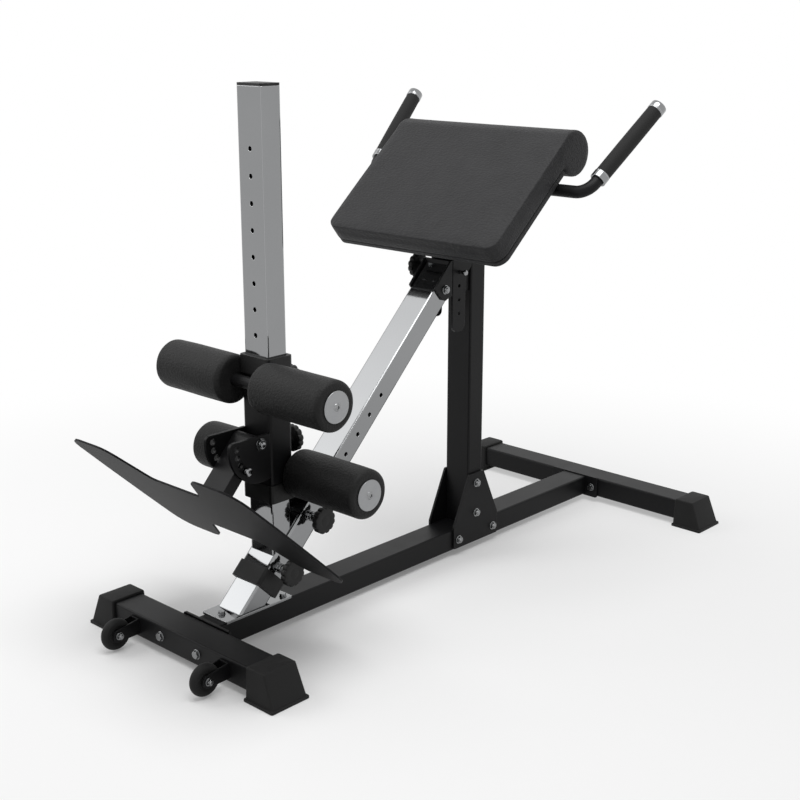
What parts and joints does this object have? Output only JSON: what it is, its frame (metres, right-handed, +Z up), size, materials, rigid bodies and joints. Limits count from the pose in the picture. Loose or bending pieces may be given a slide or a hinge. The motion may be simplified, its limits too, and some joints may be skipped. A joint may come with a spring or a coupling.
{
  "type": "glute ham developer",
  "caption": "Beam frame with a thigh pad on an upright and a mast on a sloping rail that carries foam rollers and a footplate, each adjustable by sliding sleeves.",
  "frame": {"origin": "on the floor, midway between the wheels' front and the front feet's outer face, on the plane of symmetry", "axes": "+X along the main beam from the wheels to the pad, +Y across it, +Z up"},
  "size_m": [1.4904, 0.7752, 1.1158],
  "materials": {
    "black_steel": "satin black powder coat",
    "chrome": "bright chrome plate",
    "zinc": "zinc plated",
    "black_plastic": "moulded black plastic",
    "black_rubber": "matt black rubber",
    "foam": "black foam with a fine grain",
    "vinyl": "black grained vinyl",
    "board": "black painted board"
  },
  "bodies": {
    "frame": {"rear_crossbeam": "black_steel", "front_crossbeam": "black_steel", "foot_rear_left": "black_rubber", "foot_rear_right": "black_rubber", "foot_front_left": "black_rubber", "foot_front_right": "black_rubber", "main_beam": "black_steel", "rear_flange": "black_steel", "front_flange": "black_steel", "upright": "black_steel", "gusset_left": "black_steel", "gusset_right": "black_steel", "upright_bolt_lower": "zinc", "upright_bolt_upper": "zinc", "beam_bolt_rear": "zinc", "beam_bolt_front": "zinc", "slide_rail": "chrome", "rail_foot_plate": "chrome", "rail_bracket": "black_steel", "rail_bolt": "zinc", "wheel_fork_left": "black_steel", "wheel_fork_right": "black_steel", "wheel_axle_left": "zinc", "wheel_axle_right": "zinc"},
    "wheel_left": {"wheel_left": "black_rubber"},
    "wheel_right": {"wheel_right": "black_rubber"},
    "pad_clamp_knob": {"pad_clamp_knob": "black_plastic"},
    "mast_carriage": {"rail_sleeve": "chrome", "rail_collar_lower": "black_plastic", "rail_collar_upper": "black_plastic", "mast": "chrome", "mast_cap": "black_plastic"},
    "rail_clamp_knob": {"rail_clamp_knob": "black_plastic"},
    "rail_pull_pin": {"rail_pull_pin": "black_plastic"},
    "roller_carriage": {"mast_sleeve": "black_steel", "mast_collar_lower": "black_plastic", "mast_collar_upper": "black_plastic", "upper_axle": "chrome", "lower_axle": "chrome", "foot_bracket_left": "black_steel", "foot_bracket_right": "black_steel", "pivot_bolt": "zinc"},
    "mast_clamp_knob": {"mast_clamp_knob": "black_plastic"},
    "mast_pull_pin": {"mast_pull_pin": "black_plastic"},
    "tilt_pin": {"tilt_pin": "chrome"},
    "upper_roller_left": {"upper_roller_left": "foam"},
    "upper_roller_right": {"upper_roller_right": "foam"},
    "lower_roller_left": {"lower_roller_left": "foam"},
    "lower_roller_right": {"lower_roller_right": "foam"},
    "foot": {"foot_arm": "black_steel", "footplate": "black_steel"},
    "pad_carrier": {"pad_post": "black_steel", "pad_bracket": "black_steel", "backing_board": "board", "pad_cushion": "vinyl", "handle_tube": "black_steel", "grip_left": "black_rubber", "grip_right": "black_rubber"},
    "pad_lock_pin": {"pad_lock_pin": "chrome"}
  },
  "joints": [
    {"name": "mast_carriage_slide", "type": "slide", "parent": "frame", "child": "mast_carriage", "axis": [0.7071, 0, 0.7071], "range_m": [0, 0.306]},
    {"name": "roller_carriage_slide", "type": "slide", "parent": "mast_carriage", "child": "roller_carriage", "axis": [0, 0, 1], "range_m": [0, 0.468]},
    {"name": "footplate_tilt", "type": "hinge", "parent": "roller_carriage", "child": "foot", "pos_m": [-0.46865, 0, 0.4205], "axis": [0, 1, 0], "range_deg": [0, 49.8]},
    {"name": "pad_height_slide", "type": "slide", "parent": "frame", "child": "pad_carrier", "axis": [0, 0, 1], "range_m": [0, 0.0945]},
    {"name": "upper_roller_left_spin", "type": "hinge", "parent": "roller_carriage", "child": "upper_roller_left", "pos_m": [-0.45715, 0.144, 0.5359], "axis": [0, 1, 0], "continuous": true},
    {"name": "upper_roller_right_spin", "type": "hinge", "parent": "roller_carriage", "child": "upper_roller_right", "pos_m": [-0.45715, -0.144, 0.5359], "axis": [0, 1, 0], "continuous": true},
    {"name": "lower_roller_left_spin", "type": "hinge", "parent": "roller_carriage", "child": "lower_roller_left", "pos_m": [-0.37115, 0.144, 0.3386], "axis": [0, 1, 0], "continuous": true},
    {"name": "lower_roller_right_spin", "type": "hinge", "parent": "roller_carriage", "child": "lower_roller_right", "pos_m": [-0.37115, -0.144, 0.3386], "axis": [0, 1, 0], "continuous": true},
    {"name": "wheel_left_spin", "type": "hinge", "parent": "frame", "child": "wheel_left", "pos_m": [-0.71215, 0.1413, 0.0355], "axis": [0, 1, 0], "continuous": true},
    {"name": "wheel_right_spin", "type": "hinge", "parent": "frame", "child": "wheel_right", "pos_m": [-0.71215, -0.1413, 0.0355], "axis": [0, 1, 0], "continuous": true},
    {"name": "rail_pull_pin_slide", "type": "slide", "parent": "mast_carriage", "child": "rail_pull_pin", "axis": [0, 1, 0], "range_m": [0, 0.01]},
    {"name": "mast_pull_pin_slide", "type": "slide", "parent": "roller_carriage", "child": "mast_pull_pin", "axis": [-1, 0, 0], "range_m": [0, 0.01]},
    {"name": "tilt_pin_slide", "type": "slide", "parent": "roller_carriage", "child": "tilt_pin", "axis": [0, 1, 0], "range_m": [0, 0.007]},
    {"name": "pad_lock_pin_slide", "type": "slide", "parent": "pad_carrier", "child": "pad_lock_pin", "axis": [0, 1, 0], "range_m": [0, 0.012]},
    {"name": "rail_clamp_turn", "type": "hinge", "parent": "mast_carriage", "child": "rail_clamp_knob", "pos_m": [-0.42535, 0, 0.14262], "axis": [0, 1, 0], "continuous": true},
    {"name": "mast_clamp_turn", "type": "hinge", "parent": "roller_carriage", "child": "mast_clamp_knob", "pos_m": [-0.37765, 0, 0.398], "axis": [1, 0, 0], "continuous": true},
    {"name": "pad_clamp_turn", "type": "hinge", "parent": "frame", "child": "pad_clamp_knob", "pos_m": [0.13485, 0.05, 0.6833], "axis": [0, 1, 0], "continuous": true}
  ]
}
